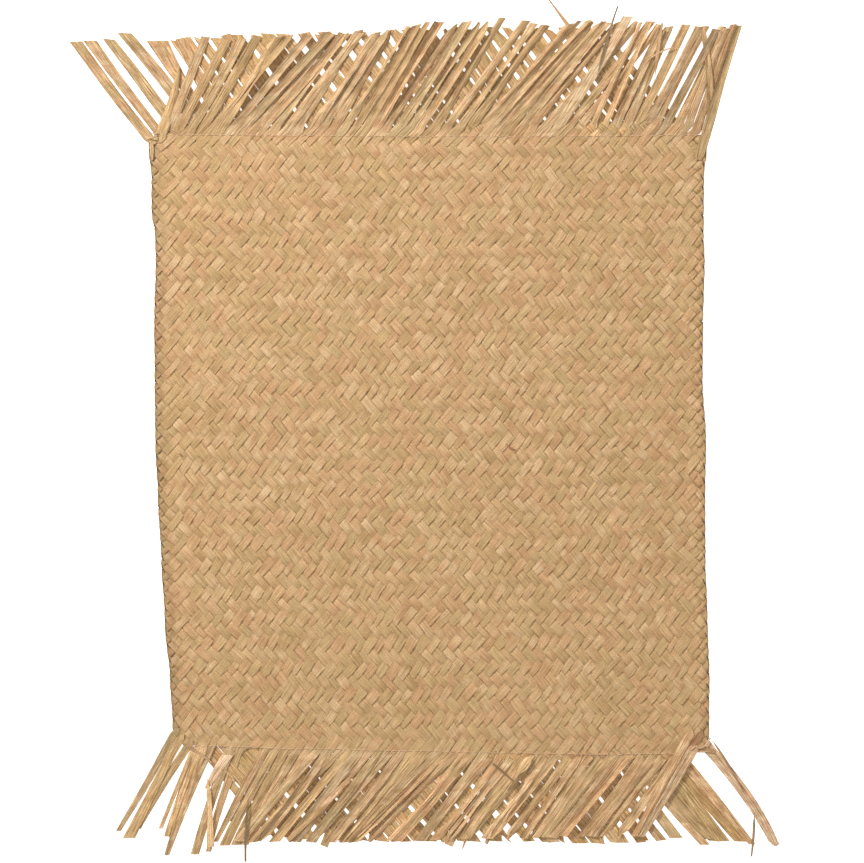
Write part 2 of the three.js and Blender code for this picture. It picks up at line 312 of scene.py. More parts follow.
def read_table(rows, place, column):
    """A column's value at a place in a table's first column, eased from row to row."""
    places = np.array([next(iter(row.values())) for row in rows], float)
    values = np.array([row[column] for row in rows], float)
    place = np.clip(place, places[0], places[-1])
    after = np.clip(np.searchsorted(places, place, side="right"), 1, len(rows) - 1)
    share = (place - places[after - 1]) / (places[after] - places[after - 1])
    return values[after - 1] + (values[after] - values[after - 1]) * ease(share)


def end_at(edge, across):
    return read_table(ENDS, across, edge)


# The plait


def sway(x, y, phase):
    """A slow, smooth stray of the lattice, from -1 to 1."""
    waves = (
        np.sin(x / 13.1 + y / 21.7 + phase)
        + np.sin(y / 11.9 - x / 27.3 + 2.1 * phase)
        + np.sin(x / 31.0 + y / 37.0 + 3.7 * phase)
    )
    return waves / 3


def stray(edge):
    """How far an edge between two strips is from its even place, in columns."""
    below = np.floor(edge)
    share = edge - below
    nearer = scatter(5, below % (2 * COLUMNS))
    further = scatter(5, (below + 1) % (2 * COLUMNS))
    return EDGE_STRAY * (nearer * (1 - share) + further * share)


def plan(column, row):
    """X and Y of a place in the plait, in columns from the left side and rows from the middle."""
    share = column / COLUMNS
    x = (share - 0.5) * COLUMNS * COLUMN_PITCH
    y = row * FOLD_PITCH
    inside = 1 - np.abs(2 * share - 1) ** 8
    y = y + SWAY * sway(x, y, 1.0)
    left = read_table(SIDES, y, "left") + FOLD_INSET
    right = read_table(SIDES, y, "right") - FOLD_INSET
    return left + (right - left) * share + SWAY * inside * sway(x, y, 4.0), y


def fold_step(strip):
    """The step at which a strip reaches the side and folds back."""
    return 2 * COLUMNS - strip - 0.5


def past_stitching(rising, falling):
    """Whether two strips cross beyond the plait's last rows."""
    column = (rising + falling + 1) / 2
    row = (falling - rising) / 2
    x, y = plan(np.clip(column, 0, COLUMNS), row)
    top = end_at("top", x) + read_table(PLAITED_ON, x, "top")
    bottom = end_at("bottom", x) + read_table(PLAITED_ON, x, "bottom")
    return (y > top) | (y < -bottom)


def rising_on_top(rising, falling):
    """Whether a strip that rises to the right is on top where a falling one crosses it."""
    column = rising + falling + 1
    from_side = np.minimum(column, 2 * COLUMNS - column)
    twill = np.isin((falling - rising) % 4, (0, 1))
    plaited = np.where(from_side <= 2, from_side % 2 == 0, twill)
    return plaited | past_stitching(rising, falling)


def on_top(strip, step, mirrored):
    """1 where a strip lies on top, and -1 where it lies below, at a step along its unfolded way."""
    cell = np.floor(step).astype(int)
    turned = step > fold_step(strip)
    last = 2 * COLUMNS - 1
    if mirrored:
        before = ~rising_on_top(COLUMNS - 1 - cell, COLUMNS - 1 - strip)
        after = rising_on_top(strip - COLUMNS, cell - COLUMNS)
    else:
        before = rising_on_top(strip, cell)
        after = ~rising_on_top(last - cell, last - strip)
    return np.where(np.where(turned, after, before), 1.0, -1.0)


def strip_lift(strip, step, mirrored):
    """The height of a strip's middle over the plait's own, as a share of LIFT."""
    fold = fold_step(strip)
    here = on_top(strip, step, mirrored)
    lift = here * (1 + LIFT_ARCH)
    for side in (-1, 1):
        for reach in (1, 2):
            edge = np.floor(step) + (reach if side > 0 else 1 - reach)
            beyond = on_top(strip, edge + side * 0.25, mirrored)
            crosses_fold = (edge - fold) * (step - fold) < 0
            gap = np.abs(edge - step)
            share = ease(gap / DIVE) * (1 + LIFT_ARCH * ease(gap))
            changes = (beyond != here) & ~crosses_fold & (gap < 1.5)
            lift = np.where(changes & (share < np.abs(lift)), here * share, lift)
    return lift


def plan_of_strip(strip, step, offset, mirrored):
    """X and Y of a point of a strip, offset sideways, with its way folded back at the side."""
    middle = strip + 0.5 + offset
    unfolded = (middle + step) / 2
    row = (step - middle) / 2
    column = COLUMNS - np.abs(COLUMNS - unfolded)
    if mirrored:
        column = COLUMNS - column
    rising = column - row
    falling = column + row
    rising = rising + stray(rising)
    falling = falling - stray(-falling)
    return plan((rising + falling) / 2, (falling - rising) / 2)


def end_step(strip, edge, sign, mirrored):
    """The step at which a strip's middle meets the stitched end."""
    row = sign * end_at(edge, 0) / FOLD_PITCH
    for _ in range(6):
        step = strip + 0.5 + 2 * row
        x, y = plan_of_strip(strip, step, 0, mirrored)
        row = row + (sign * end_at(edge, x) - y) / FOLD_PITCH
    return float(strip + 0.5 + 2 * row)


# A ring's points across and by face, the rings in a fold and near it as the way from the fold with
# the ring's turn or slant, and the way kept free before a strip's ends
PLAIT_SIDES = np.array([[-1.0, 0.0, 1.0, 1.0, 0.0, -1.0]])
PLAIT_FACES = np.array([[1.0, 1.0, 1.0, -1.0, -1.0, -1.0]])
FOLD_RINGS = ((-0.17, -1.0), (-0.07, -0.5), (0.0, 0.0), (0.07, 0.5), (0.17, 1.0))
FOLD_NEAR = ((0.42, -0.6), (0.55, -0.38), (0.66, -0.2), (0.8, 0.0))
END_CLEAR = 0.62

# A strip folds only where it goes this far on both sides. If not, it stops short of the fold.
FOLD_ROOM = 1.5
FOLD_STOP = 0.6

# The slow changes along a strip, as waves for each step, and how much the necks at folds differ
WIDTH_WAVE = 0.31
COURSE_WAVE = 0.23
NECK_SCATTER = 0.6


def strip_steps(strip, mirrored):
    """The rings along one strip: step, slant of the ring, and turn from -1 before the fold to 1."""
    first = end_step(strip, "bottom", -1, mirrored)
    last = end_step(strip, "top", 1, mirrored)
    fold = fold_step(strip)
    folded = first + FOLD_ROOM < fold < last - FOLD_ROOM
    if not folded:
        if fold > (first + last) / 2:
            last = min(last, fold - FOLD_STOP)
        else:
            first = max(first, fold + FOLD_STOP)
    inner = np.arange(math.ceil(first * RINGS_PER_CELL), math.floor(last * RINGS_PER_CELL) + 1)
    inner = inner / RINGS_PER_CELL
    inner = inner[(inner > first + END_CLEAR) & (inner < last - END_CLEAR)]
    rings = [(step, 0.0, -1.0 if step < fold else 1.0) for step in inner]
    if folded:
        rings = [ring for ring in rings if abs(ring[0] - fold) > FOLD_NEAR[-1][0]]
        for side in (-1.0, 1.0):
            rings += [(fold + side * past, slant, side) for past, slant in FOLD_NEAR]
        rings += [(fold + past, -1.0, turn) for past, turn in FOLD_RINGS]
    rings += [(end, 1.0, -1.0 if end < fold else 1.0) for end in (first, last)]
    return np.array(sorted(rings))


def strip_seed(mirrored):
    return 31 if mirrored else 30


def ring_plan(strip, step, slant, sides, mirrored):
    """X, Y, lift and place of a strip's points, with its own changes of width and course."""
    seed = strip_seed(mirrored)
    width = 1 + WIDTH_SCATTER * np.sin(step * WIDTH_WAVE + 9 * scatter(seed, strip))
    depth = np.minimum(np.abs(strip_lift(strip, step, mirrored)), 1)
    width = width * (1 - NECK * (1 - depth))
    fold = fold_step(strip)
    fold_neck = FOLD_NECK * (1 + NECK_SCATTER * scatter(seed, strip + 500))
    width = width * (1 - fold_neck * np.exp(-((step - fold) / FOLD_REACH) ** 2))
    offset = sides * STRIP_FILL / 2 * width
    drift = DRIFT * np.sin(step * COURSE_WAVE + 7 * scatter(seed, strip + 100))
    place = step + slant * offset
    x, y = plan_of_strip(strip, place, offset + drift, mirrored)
    return x, y, strip_lift(strip, place, mirrored), place


def surface_height(strip, place, lift, sides, mirrored):
    """The height of a strip's middle surface, with its crown and its tilt."""
    seed = strip_seed(mirrored)
    turned = place > fold_step(strip)
    rises = turned if mirrored else ~turned
    tilt = TILT * scatter(seed, strip * 131 + np.floor(place)) + SHINGLE * np.where(rises, 1, -0.4)
    return MIDDLE_HEIGHT + LIFT * lift + sides * tilt - STRIP_CROWN * (sides ** 2 - 0.5)


def strip_shade(strip, mirrored):
    return (scatter(strip_seed(mirrored), strip + 300) + 1) / 2


def plait_strip(strip, mirrored):
    """One whole strip of the plait, as a strip for make_piece."""
    rings = strip_steps(strip, mirrored)
    step, slant, turn = (rings[:, k][:, None] for k in range(3))
    sides = PLAIT_SIDES
    x, y, lift, place = ring_plan(strip, step, slant, sides, mirrored)
    angle = turn * math.pi / 2
    outward = -1.0 if mirrored else 1.0
    turning = np.abs(turn) < 1
    reach = np.where(turning, np.cos(angle), 0.0)
    bulge = FOLD_BULGE * np.cos(sides * math.pi / 2) * reach
    skin = PLAIT_FACES * STRIP_THICKNESS / 2
    x = x + outward * (LIFT * reach + bulge) + skin * reach
    height = surface_height(strip, place, lift, sides, mirrored)
    height = np.where(turning, MIDDLE_HEIGHT - LIFT * outward * np.sin(angle), height)
    height = np.maximum(height, STRIP_THICKNESS / 2 + OFF_FLOOR)
    z = height - skin * np.sin(angle)
    past_fold = step - fold_step(strip)
    tint = 1 - (LEFT_DARKER if mirrored else 0.0) * np.exp(-((past_fold / FOLD_TONE_REACH) ** 2))
    tint = tint - FOLD_LINE_DARKER * np.exp(-((past_fold / FOLD_LINE_REACH) ** 2))
    return dict(
        points=np.stack([x, y, z], axis=2),
        across=sides[0],
        along=step[:, 0] * STRIP_PITCH,
        shade=strip_shade(strip, mirrored),
        tint=tint * PLAIT_TINT,
        folded=np.exp(-((past_fold[:, 0] / FOLD_SLIT_REACH) ** 2)),
        flip=mirrored,
    )


# The bake map: a row for each strip, and beyond the rows its two ends as small ovals
UV_START = 0.01
UV_TRAVEL = 0.95
UV_ROW_GAP = 0.04
UV_ROW_HEIGHT = 0.92
UV_CAPS = 0.972
UV_CAP_STEP = 0.014
UV_CAP_WIDTH = 0.005
UV_CAP_SHARE = 0.4


def add_object(name, data):
    made = bpy.data.objects.new(name, data)
    scene.collection.objects.link(made)
    return made


def ring_shares(ring):
    """How far round its ring each point is, with the strip's two faces half each."""
    half = ring // 2
    upper = np.linspace(0, 0.48, half)
    return np.concatenate([upper, 0.5 + upper, [1.0]])


def make_piece(name, strips, material, rounded=False):
    """One mesh of many closed strips. Each strip has rings of points, all with as many points."""
    ring = strips[0]["points"].shape[1]
    vertices, faces, leaf, tints, folds, uvs = [], [], [], [], [], []
    base = 0
    rows = len(strips)
    round_share = ring_shares(ring)
    longest = max(np.ptp(s["along"]) for s in strips)
    for row, s in enumerate(strips):
        count = len(s["points"])
        vertices.append(s["points"].reshape(-1, 3))
        leaf.append(np.stack([
            np.tile(s["across"], count),
            np.repeat(s["along"], ring),
            np.full(count * ring, s["shade"]),
        ], axis=1))
        tints.append(np.repeat(np.broadcast_to(s["tint"], (count, 3)), ring, axis=0))
        folds.append(np.repeat(s.get("folded", np.zeros(count)), ring))
        i, k = np.meshgrid(np.arange(count - 1), np.arange(ring), indexing="ij")
        i, k = i.ravel(), k.ravel()
        beside = (k + 1) % ring
        quads = base + np.stack([
            i * ring + k, i * ring + beside, (i + 1) * ring + beside, (i + 1) * ring + k,
        ], axis=1)
        travel = UV_START + UV_TRAVEL * (s["along"] - s["along"].min()) / longest
        low = (row + UV_ROW_GAP) / rows
        high = UV_ROW_HEIGHT / rows
        corner = np.stack([
            np.stack([travel[i + ahead], low + high * round_share[k + turned]], axis=1)
            for ahead, turned in ((0, 0), (0, 1), (1, 1), (1, 0))
        ], axis=1)
        first_end = np.arange(base + ring - 1, base - 1, -1)
        last_end = np.arange(base + (count - 1) * ring, base + count * ring)
        turn = np.arange(ring) / ring * 2 * math.pi
        oval = np.stack([UV_CAP_WIDTH * np.cos(turn), UV_CAP_SHARE * high * np.sin(turn)], axis=1)
        for n, end in enumerate((first_end, last_end)):
            disc = np.array([UV_CAPS + UV_CAP_STEP * n, low + high / 2]) + oval
            if n == 0:
                disc = disc[::-1]
            if s["flip"]:
                end, disc = end[::-1], disc[::-1]
            faces.append(end.tolist())
            uvs.append(disc)
        if s["flip"]:
            quads = quads[:, ::-1]
            corner = corner[:, ::-1]
        faces.extend(quads.tolist())
        uvs.append(corner.reshape(-1, 2))
        base += count * ring
    mesh = bpy.data.meshes.new(name)
    mesh.from_pydata((np.concatenate(vertices) * MM).tolist(), [], faces)
    mesh.update()
    layer = mesh.uv_layers.new(name="OFBake")
    layer.data.foreach_set("uv", np.concatenate(uvs).astype(np.float32).ravel())
    for title, values in (("leaf", leaf), ("tint", tints)):
        attribute = mesh.attributes.new(title, "FLOAT_VECTOR", "POINT")
        attribute.data.foreach_set("vector", np.concatenate(values).astype(np.float32).ravel())
    folded = mesh.attributes.new("folded", "FLOAT", "POINT")
    folded.data.foreach_set("value", np.concatenate(folds).astype(np.float32))
    mesh.polygons.foreach_set("use_smooth", np.array([len(face) == 4 for face in faces]))
    if not rounded:
        pairs = np.zeros(len(mesh.edges) * 2, np.int32)
        mesh.edges.foreach_get("vertices", pairs)
        pairs = pairs.reshape(-1, 2) % ring
        rails = np.isin(pairs[:, 0], (0, ring // 2 - 1, ring // 2, ring - 1))
        sharp = mesh.attributes.new("sharp_edge", "BOOLEAN", "EDGE")
        sharp.data.foreach_set("value", rails & (pairs[:, 0] == pairs[:, 1]))
    piece = add_object(name, mesh)
    piece.data.materials.append(material)
    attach(piece, "root")
    return piece


# The fringe


def layer_strands(fringe, layer):
    """One layer's regular strands, by the rule that the solids follow too."""
    strands = []
    count = round((layer["last"] - layer["first"]) / ROOT_PITCH) + 1
    lone = [s for s in fringe["lone"] if s["level"] - layer["level"] == s["level"] % 2]
    last_tip = [-math.inf, -math.inf]
    for s in lone:
        turn = s["level"] % 2
        if s["root"] < layer["first"]:
            last_tip[turn] = max(last_tip[turn], s["end"])
    seed = layer["seed"]
    for i in range(count):
        root = layer["first"] + i * ROOT_PITCH + ROOT_SCATTER * scatter(seed, i)
        if any(abs(s["root"] - root) < ROOT_PITCH / 2 for s in lone):
            continue
        turn = i % 2
        lean = read_table(layer["rows"], root, "lean")
        lean = math.radians(lean + LEAN_SCATTER * scatter(seed, i + 100))
        tip = read_table(layer["rows"], root, "tip")
        tip = tip + TIP_SCATTER[fringe["edge"]] * scatter(seed, i + 200)
        rise = tip - end_at(fringe["edge"], root)
        end = max(root + layer["slant"] * rise / math.tan(lean), last_tip[turn] + LEVEL_TIP_SPACING)
        last_tip[turn] = end
        width = STRAND_WIDTH + STRAND_WIDTH_SCATTER * scatter(seed, i + 300)
        strands.append(dict(
            root=root, end=end, tip=tip, width=width, tip_width=width,
            bow=BOW_SCATTER * scatter(seed, i + 400), level=layer["level"] + turn,
        ))
    return strands


def strip_ends(fringe, mirrored):
    """Where each of the plait's strips of one direction leaves it: place across, and step."""
    ends = []
    for strip in STRIPS:
        step = end_step(strip, fringe["edge"], fringe["sign"], mirrored)
        x, _ = plan_of_strip(strip, step, 0, mirrored)
        ends.append((float(x), strip, step))
    return sorted(ends)


def pair_up(strands, ends):
    """Each strand's strip end, both in order across, so that all the places match best."""
    cost = np.zeros((len(strands) + 1, len(ends) + 1))
    cost[0, :] = UNPAIRED_COST * np.arange(len(ends) + 1)
    cost[:, 0] = UNPAIRED_COST * np.arange(len(strands) + 1)
    gaps = np.abs(np.array([s["root"] for s in strands])[:, None] - np.array([e[0] for e in ends]))
    for i in range(1, len(strands) + 1):
        for k in range(1, len(ends) + 1):
            unpaired = min(cost[i - 1, k], cost[i, k - 1]) + UNPAIRED_COST
            cost[i, k] = min(cost[i - 1, k - 1] + gaps[i - 1, k - 1], unpaired)
    pairs = [None] * len(strands)
    i, k = len(strands), len(ends)
    while i and k:
        if cost[i, k] == cost[i - 1, k - 1] + gaps[i - 1, k - 1]:
            pairs[i - 1] = ends[k - 1]
            i, k = i - 1, k - 1
        elif cost[i, k] == cost[i - 1, k] + UNPAIRED_COST:
            i -= 1
        else:
            k -= 1
    return pairs


def join_strands(fringe):
    """Every strand of a fringe with the strip that it continues, or with none."""
    regular = [s for layer in fringe["layers"] for s in layer_strands(fringe, layer)]
    for change in fringe["standouts"]:
        slant = np.sign(change["end"] - change["root"])
        same = [s for s in regular if (s["end"] - s["root"]) * slant > 0 and "tone" not in s]
        nearest = min(same, key=lambda s: abs(s["root"] - change["root"]))
        nearest.update(change)
    joined = []
    for mirrored in (False, True):
        slant = 1 if mirrored else -1
        group = [s for s in regular + fringe["lone"] if (s["end"] - s["root"]) * slant > 0]
        group.sort(key=lambda s: s["root"])
        joined += [(s, None, mirrored) for s in group if "inner" in s]
        group = [s for s in group if "inner" not in s]
        ends = strip_ends(fringe, mirrored)
        pairs = pair_up(group, ends)
        joined += [(s, end, mirrored) for s, end in zip(group, pairs)]
        layer = next(k for k in fringe["layers"] if k["slant"] == slant)
        spare = [e for e in ends if e not in pairs and layer["first"] < e[0] < layer["last"]]
        for end in spare:
            like = min(group, key=lambda s: abs(s["root"] - end[0]))
            shift = end[0] - like["root"]
            joined.append((dict(like, root=end[0], end=like["end"] + shift), end, mirrored))
    return joined


# A loose strand's ring of points across and by face
STRAND_SPANS = [-1.0, -0.5, 0.0, 0.5, 1.0]
STRAND_SIDES = np.array([STRAND_SPANS + STRAND_SPANS[::-1]])
STRAND_FACES = np.repeat([[1.0, -1.0]], len(STRAND_SPANS), axis=1)

# One strand's draws in order. Above a value it is pointed, or twisted at its middle, and up to one
# it is rolled downwards.
STRAND_DRAWS = "pace phase cover point roll side crease twist turn spring lift cut".split()
POINTED_ABOVE = 0.7
TURNED_ABOVE = 0.86
ROLLED_DOWN_TO = 0.2

# A strand's sideways wave, its roll, crease and twist in radians, and the scatter of its cover
STRAND_WAVE = 0.4
ROLL_LEAST = 0.15
ROLL_MORE = 0.6
CREASE_MOST = 0.5
TWIST_MOST = 0.3
COVER_SCATTER = 0.12

# How far a strip keeps its own course past the plait, where a strand with none starts, and the
# height at which it starts on the body or under it
KEPT_MORE = 0.8
STARTS_OUTSIDE = -0.6
ON_BODY = 1.75
ON_TABLE = 0.5


def leaf_section(sides, width, roll, crease, twist):
    """A dry strip's cross-section: rolled up lengthwise, creased and twisted."""
    safe = np.where(np.abs(roll) < 0.01, 0.01, roll)
    across = width / 2 * np.sin(safe * sides) / safe
    height = width / 2 * (1 - np.cos(safe * sides)) / safe
    across = across * np.cos(crease)
    height = height + width / 2 * np.abs(sides) * np.sin(crease)
    return (
        across * np.cos(twist) - height * np.sin(twist),
        across * np.sin(twist) + height * np.cos(twist),
    )


def strand_tint(strand, edge, seed, number):
    """A strand's colour against the leaf's own, with painted shade on the lower levels."""
    bright = FRINGE_TONE[edge] * strand.get("tone", 1.0)
    bright = bright * (1 + 0.1 * float(scatter(seed, number + 1400)))
    warm = strand.get("warm", 1 + 0.04 * float(scatter(seed, number + 1500)))
    pale = 1 + strand.get("pale", 0.0)
    tint = np.array([bright, bright / warm * pale ** 0.5, bright / warm ** 2 * pale ** 1.5])
    # Painted shade on the lower strands, which lie under the upper ones
    if strand["level"] < 2 and "tone" not in strand:
        tint = tint * LOWER_SHADE_TINT
    return tint


def strand_strip(fringe, strand, end, mirrored, number, part=(-1.0, 1.0), spread=0.0):
    """One loose strand. It leaves the plait as its strip does, and then takes its own way."""
    sign, edge = fringe["sign"], fringe["edge"]
    seed = 41 if sign > 0 else 42
    own = {name: float(scatter(seed, number + 100 * k)) for k, name in enumerate(STRAND_DRAWS)}
    lone = "tone" in strand
    root_x = strand["root"] if end is None else end[0]
    start = float(end_at(edge, root_x))
    kept = float(read_table(PLAITED_ON, root_x, edge)) + KEPT_MORE
    inner = 0.0
    if end is None:
        inner = strand.get("inner", STARTS_OUTSIDE)
        kept = 0.0
    near = np.arange(NEAR_RINGS) * FOLD_PITCH / 2 / RINGS_PER_CELL - inner
    far = np.linspace(near[-1], strand["tip"] - start, FAR_RINGS + 1)[1:]
    past = np.concatenate([near, far])[:, None]
    sides = part[0] + (part[1] - part[0]) * (STRAND_SIDES + 1) / 2

    leave_x = strand["root"]
    if end is not None:
        _, strip, end_place = end
        leaving = end_place + sign * 2 * kept / FOLD_PITCH
        leave_x = float(plan_of_strip(strip, leaving, 0, mirrored)[0])
    rise = strand["tip"] - start - kept
    run = strand["end"] - leave_x
    stretch = math.hypot(rise, run) / rise
    share = (past - kept) / rise
    outer = np.clip(share, 0, 1)
    wave = STRAND_WAVE * np.sin(outer * (4 + 2 * own["pace"]) + 9 * own["phase"])
    wave = wave * outer * (1 - outer) * 2
    middle = leave_x + run * share + 4 * strand["bow"] * outer * (1 - outer) + wave
    middle = middle + spread * ease((share - 0.4) / 0.6)
    width = strand["width"] + (strand["tip_width"] - strand["width"]) * outer ** 2
    lower = strand["level"] < 2
    curl = strand.get("flat", 1.0) * (LOWER_CURL if lower else 1.0)
    roll = curl * (ROLL_LEAST + ROLL_MORE * abs(own["roll"])) * ease(outer * 2)
    crease = curl * CREASE_MOST * max(0.0, own["crease"]) * ease(outer * 3)
    twist = curl * TWIST_MOST * own["twist"] * outer ** 1.5
    if not lone:
        cover = read_table(COVER, strand["root"], edge)
        cover = cover * (1 + COVER_SCATTER * own["cover"])
        width = width * (1 + (cover - 1) * ease(outer * 2.5))
        if own["point"] > POINTED_ABOVE:
            width = width * (1 - 0.75 * ease((share - 0.9) / 0.1))
        if own["turn"] > TURNED_ABOVE and not lower:
            twist = twist + 0.9 * np.sin(math.pi * outer) ** 2
    if own["side"] <= ROLLED_DOWN_TO:
        roll, crease = -roll, -crease
    base = LEVEL_HEIGHTS[strand["level"]] + strand.get("over", 0.0)
    spring = (0.3 + 0.3 * own["spring"]) * np.sin(math.pi * outer) ** 2
    lifted = 1.5 * max(0.0, own["lift"] - 0.4) * outer ** 3
    if lower:
        spring, lifted = LOWER_SPRING * spring, 0.0
    loose_z = base + spring + lifted
    loose_y = start + past + 0 * sides
    cut = CUT_SLANT[edge] * (0.4 if lone else 1.0) * own["cut"] * sides
    cut = (cut - strand.get("rounded", 0.0) * sides ** 2) * (share > 0.999)
    if end is None:
        width = width * (0.45 + 0.55 * ease((past + inner) / 2.5))
        across, height = leaf_section(sides, width, roll, crease, twist)
        x = middle + across * stretch
        y = sign * (loose_y + cut)
        first_z = ON_BODY if inner > 0 and "under" not in strand else ON_TABLE
        z = height + first_z + (loose_z - first_z) * ease((past + inner) / (inner + 8))
        thickness = LEAF_THICKNESS
        x_side = 1.0
        shade = (scatter(seed, number + 1300) + 1) / 2
        along = past[:, 0] * stretch
    else:
        step = end_place + sign * 2 * np.minimum(past, SETTLE) / FOLD_PITCH
        plait_x, plait_y, lift, place = ring_plan(strip, step, 1.0, sides, mirrored)
        plait_z = surface_height(strip, place, lift, sides, mirrored)
        x_side = float(np.sign(plait_x[0, 4] - plait_x[0, 0]))
        across, height = leaf_section(sides * x_side, width, roll, crease, twist)
        free = ease((past - kept + 1.5) / 4)
        x = plait_x + (middle + across * stretch - plait_x) * free
        y = plait_y + (sign * (loose_y + cut) - plait_y) * free
        z = plait_z + (loose_z + height - plait_z) * ease((past - kept) / 6)
        thickness = STRIP_THICKNESS + (LEAF_THICKNESS - STRIP_THICKNESS) * free
        shade = strip_shade(strip, mirrored)
        along = end_place * STRIP_PITCH + sign * past[:, 0] * stretch
    z = np.maximum(z, thickness / 2 + OFF_FLOOR) + STRAND_FACES * thickness / 2
    return dict(
        points=np.stack([x, y, z], axis=2),
        across=sides[0],
        along=along,
        shade=strand.get("shade", shade),
        tint=strand_tint(strand, edge, seed, number),
        flip=x_side * sign < 0,
    )


def fringe_strips(fringe):
    """All the strands of one fringe. Some are split in two along their outer half."""
    strips = []
    for number, (strand, end, mirrored) in enumerate(join_strands(fringe)):
        place = (fringe, strand, end, mirrored, number)
        if scatter(51 + fringe["sign"], number) > 1 - SPLIT_SHARE and "tone" not in strand:
            strips.append(strand_strip(*place, part=(-1.0, 0.1), spread=-0.8))
            strips.append(strand_strip(*place, part=(0.1, 1.0), spread=0.8))
        else:
            strips.append(strand_strip(*place))
    return strips


# Strays: rings along each, the least width, and how high its middle arches
STRAY_RINGS = 12
STRAY_POINT = 0.2
STRAY_ARCH = 0.2


def stray_strip(number, row):
    """A stray length of leaf, pointed at its first end."""
    share = np.linspace(0, 1, STRAY_RINGS)[:, None]
    ahead = np.array([row["to_x"] - row["x"], row["to_y"] - row["y"]])
    length = float(np.hypot(*ahead))
    ahead = ahead / length
    bow = 4 * row["bow"] * share * (1 - share)
    width = row["width"] * ease(share * 4) + (row["tip"] - row["width"]) * ease(share * 2 - 1)
    offset = bow + STRAND_SIDES * np.maximum(width, STRAY_POINT) / 2
    x = row["x"] + ahead[0] * length * share - ahead[1] * offset
    y = row["y"] + ahead[1] * length * share + ahead[0] * offset
    z = row["z"] + STRAND_FACES * LEAF_THICKNESS / 2 + STRAY_ARCH * np.sin(math.pi * share)
    tone, redder = row["tone"], row["red"]
    return dict(
        points=np.stack([x, y, z], axis=2),
        across=STRAND_SIDES[0],
        along=share[:, 0] * length,
        shade=(float(scatter(71, number)) + 1) / 2,
        tint=(tone * (1 + redder), tone * (1 - redder), tone * (1 - redder)),
        flip=False,
    )


# The stitching

THREAD_SIDES = 6
STITCH_LENGTH = 3.6
STITCH_GAP = 0.7
THREAD_RADIUS = 0.16
THREAD_HEIGHT = 1.6
LOOSE_THREAD_RADIUS = 0.36
STITCHED_AT = 182.0
STITCH_INSET = 3
STITCH_POINTS = 7
STITCH_SLIP = 0.25
STITCH_DIP = 0.35

# Loose thread at two corners, as X, Y and height along each length
LOOSE_THREADS = [
    [(-166.4, 179.2, 2.3), (-165.2, 180.2, 2.8), (-163.4, 179.8, 3.0), (-161.4, 181.2, 2.9),
     (-159.6, 181.4, 2.0)],
    [(-163.8, 182.9, 2.2), (-162.4, 182.4, 2.9), (-160.8, 182.7, 2.8), (-159.2, 182.2, 2.0)],
    [(152.3, -181.4, 1.6), (154.0, -179.6, 2.1), (156.1, -177.6, 2.2), (158.0, -178.9, 2.2),
     (160.2, -178.4, 2.2), (162.2, -176.8, 2.2), (164.2, -174.4, 1.9), (164.6, -172.9, 1.6)],
]


def thread_piece(route, radius):
    """A length of thread along a route of points, as a strip for make_piece."""
    route = np.array(route, float)
    ahead = np.gradient(route, axis=0)
    ahead /= np.linalg.norm(ahead, axis=1)[:, None]
    side = np.cross(ahead, (0, 0, 1.0))
    side /= np.linalg.norm(side, axis=1)[:, None]
    up = np.cross(side, ahead)
    turn = np.arange(THREAD_SIDES) / THREAD_SIDES * 2 * math.pi
    points = (
        route[:, None, :]
        + radius * np.cos(turn)[None, :, None] * side[:, None, :]
        + radius * np.sin(turn)[None, :, None] * up[:, None, :]
    )
    length = np.concatenate([[0], np.cumsum(np.linalg.norm(np.diff(route, axis=0), axis=1))])
    return dict(
        points=points, across=np.cos(turn), along=length, shade=0.5, tint=(1.0, 1.0, 1.0),
        flip=False,
    )


def stitches(edge, sign):
    """The line of stitches across one end."""
    first = float(read_table(SIDES, sign * STITCHED_AT, "left")) + STITCH_INSET
    last = float(read_table(SIDES, sign * STITCHED_AT, "right")) - STITCH_INSET
    share = np.linspace(0, 1, STITCH_POINTS)
    from_middle = 2 * share - 1
    pieces = []
    x = first
    while x + STITCH_LENGTH < last:
        slip = STITCH_SLIP * float(scatter(61, len(pieces)))
        places = x + STITCH_LENGTH * share
        y = sign * end_at(edge, places) + slip * from_middle
        z = THREAD_HEIGHT - STITCH_DIP * from_middle ** 4
        pieces.append(thread_piece(np.stack([places, y, z], axis=1), THREAD_RADIUS))
        x += STITCH_LENGTH + STITCH_GAP
    return pieces


# Materials


def new_material(name):
    material = bpy.data.materials.new(name)
    material.use_nodes = True
    tree = material.node_tree
    tree.nodes.clear()
    return material, tree


def add_node(tree, kind, **settings):
    node = tree.nodes.new(kind)
    for key, value in settings.items():
        if key in node.inputs:
            node.inputs[key].default_value = value
        else:
            setattr(node, key, value)
    return node


def set_inputs(tree, sockets, values):
    """Sets each input to its number or colour, or links it to another node's output."""
    for socket, value in zip(sockets, values):
        if isinstance(value, (int, float)):
            socket.default_value = value
        elif isinstance(value, tuple):
            socket.default_value = (*value, 1)
        else:
            tree.links.new(value, socket)


def math_node(tree, operation, first, second=0.0):
    node = add_node(tree, "ShaderNodeMath", operation=operation)
    set_inputs(tree, node.inputs, (first, second))
    return node.outputs[0]


def vector_of(tree, x, y, z):
    node = tree.nodes.new("ShaderNodeCombineXYZ")
    set_inputs(tree, node.inputs, (x, y, z))
    return node.outputs[0]


def noise(tree, vector, scale, detail=2.0, roughness=0.5):
    node = add_node(tree, "ShaderNodeTexNoise", Scale=scale, Detail=detail, Roughness=roughness)
    tree.links.new(vector, node.inputs["Vector"])
    return node.outputs["Fac"]


def ramp(tree, factor, stops):
    node = tree.nodes.new("ShaderNodeValToRGB")
    elements = node.color_ramp.elements
    elements.remove(elements[1])
    for number, (position, colour) in enumerate(stops):
        element = elements.new(position) if number else elements[0]
        element.position = position
        element.color = (*colour, 1)
    tree.links.new(factor, node.inputs[0])
    return node.outputs["Color"]


